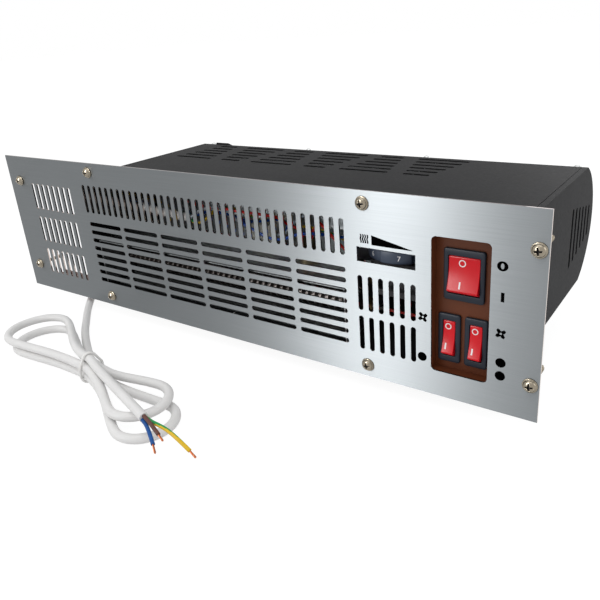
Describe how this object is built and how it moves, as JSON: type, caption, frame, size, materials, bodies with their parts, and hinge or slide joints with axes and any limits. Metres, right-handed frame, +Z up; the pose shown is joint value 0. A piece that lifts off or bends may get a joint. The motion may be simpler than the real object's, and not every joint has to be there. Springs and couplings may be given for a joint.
{
  "type": "plinth heater",
  "caption": "Built-in plinth fan heater: slotted metal fascia with rocker switches and a thumbwheel thermostat, rounded sheet-metal body with a tangential fan, and a tied mains lead.",
  "frame": {"origin": "middle of the fascia's rear face, which bears on the plinth", "axes": "+X right along the fascia as seen from the front, +Y back into the plinth, +Z up"},
  "size_m": [0.5, 0.324, 0.14],
  "materials": {
    "fascia_sheet": "satin",
    "zinc_screw": "yellow zinc",
    "dark_sheet": "satin",
    "galvanised": "galvanised",
    "fan_metal": "dark",
    "bright_steel": "bright",
    "black_rubber": "matt",
    "bronze": "sintered",
    "rotor_metal": "cast",
    "core_steel": "laminated",
    "coil_tape": "taped",
    "element_steel": "heat-dulled",
    "brass_nut": "plain",
    "cutout_case": "phenolic",
    "block_plastic": "natural",
    "grip_plastic": "matt",
    "lead_jacket": "off-white",
    "tray_paint": "brown enamel",
    "switch_plastic": "dark blue-grey",
    "rocker_red": "translucent red",
    "wheel_plastic": "dark blue-grey",
    "wire_clear": "clear white",
    "wire_blue": "plain",
    "wire_green_yellow": "striped",
    "wire_red": "plain",
    "core_blue": "plain",
    "core_brown": "plain",
    "core_earth": "striped",
    "copper": "bright strands"
  },
  "bodies": {
    "heater": {"fascia": "fascia_sheet", "fixing_screws": "zinc_screw", "fascia_screws": "zinc_screw", "lower_rail": "tray_paint", "rail_screws": "bright_steel", "top_cover": "dark_sheet", "back_shell": "dark_sheet", "end_cap_left": "dark_sheet", "end_cap_right": "dark_sheet", "cover_screws": "bright_steel", "duct_plate_left": "galvanised", "duct_plate_right": "galvanised", "air_guide": "galvanised", "duct_roof": "galvanised", "impeller_bush": "black_rubber", "impeller_bearing": "bronze", "motor_core": "core_steel", "motor_coil": "coil_tape", "motor_bridge_inner": "galvanised", "motor_bridge_outer": "galvanised", "motor_bearings": "bronze", "motor_spacers": "bright_steel", "motor_screws": "zinc_screw", "element_upper": "element_steel", "element_lower": "element_steel", "element_nuts": "brass_nut", "thermal_cutout": "cutout_case", "terminal_block": "block_plastic", "terminal_screws": "brass_nut", "earth_post": "bright_steel", "cord_grip": "grip_plastic", "lead_tail": "lead_jacket", "switch_tray": "tray_paint", "switch_main": "switch_plastic", "switch_fan": "switch_plastic", "switch_heat": "switch_plastic", "switch_tags": "bright_steel", "thermostat_body": "galvanised", "thermostat_bracket": "galvanised", "bracket_screws": "zinc_screw", "wire_live": "wire_clear", "wire_neutral": "wire_blue", "wire_earth": "wire_green_yellow", "wire_red": "wire_red", "cord_lead": "lead_jacket", "cord_hank": "lead_jacket", "cord_tie": "lead_jacket", "core_blue": "core_blue", "core_brown": "core_brown", "core_earth": "core_earth", "core_tips": "copper"},
    "impeller_set": {"impeller": "fan_metal", "impeller_pin": "bright_steel", "motor_shaft": "bright_steel", "motor_rotor": "rotor_metal"},
    "main_rocker": {"rocker_main": "rocker_red"},
    "fan_rocker": {"rocker_fan": "rocker_red"},
    "heat_rocker": {"rocker_heat": "rocker_red"},
    "dial": {"thumbwheel": "wheel_plastic", "thermostat_spindle": "bright_steel"}
  },
  "joints": [
    {"name": "impeller_spin", "type": "hinge", "parent": "heater", "child": "impeller_set", "pos_m": [0, 0.1395, 0.007], "axis": [1, 0, 0], "continuous": true},
    {"name": "main_switch", "type": "hinge", "parent": "heater", "child": "main_rocker", "pos_m": [0.2005, 0.01, 0.0171], "axis": [1, 0, 0], "range_deg": [0, 20]},
    {"name": "fan_switch", "type": "hinge", "parent": "heater", "child": "fan_rocker", "pos_m": [0.1917, 0.01, -0.0258], "axis": [1, 0, 0], "range_deg": [0, 20]},
    {"name": "heat_switch", "type": "hinge", "parent": "heater", "child": "heat_rocker", "pos_m": [0.2089, 0.01, -0.0258], "axis": [1, 0, 0], "range_deg": [0, 20]},
    {"name": "thermostat_turn", "type": "hinge", "parent": "heater", "child": "dial", "pos_m": [0.1518, 0.0237, 0.0234], "axis": [0, 0, 1], "range_deg": [-135, 135]}
  ]
}
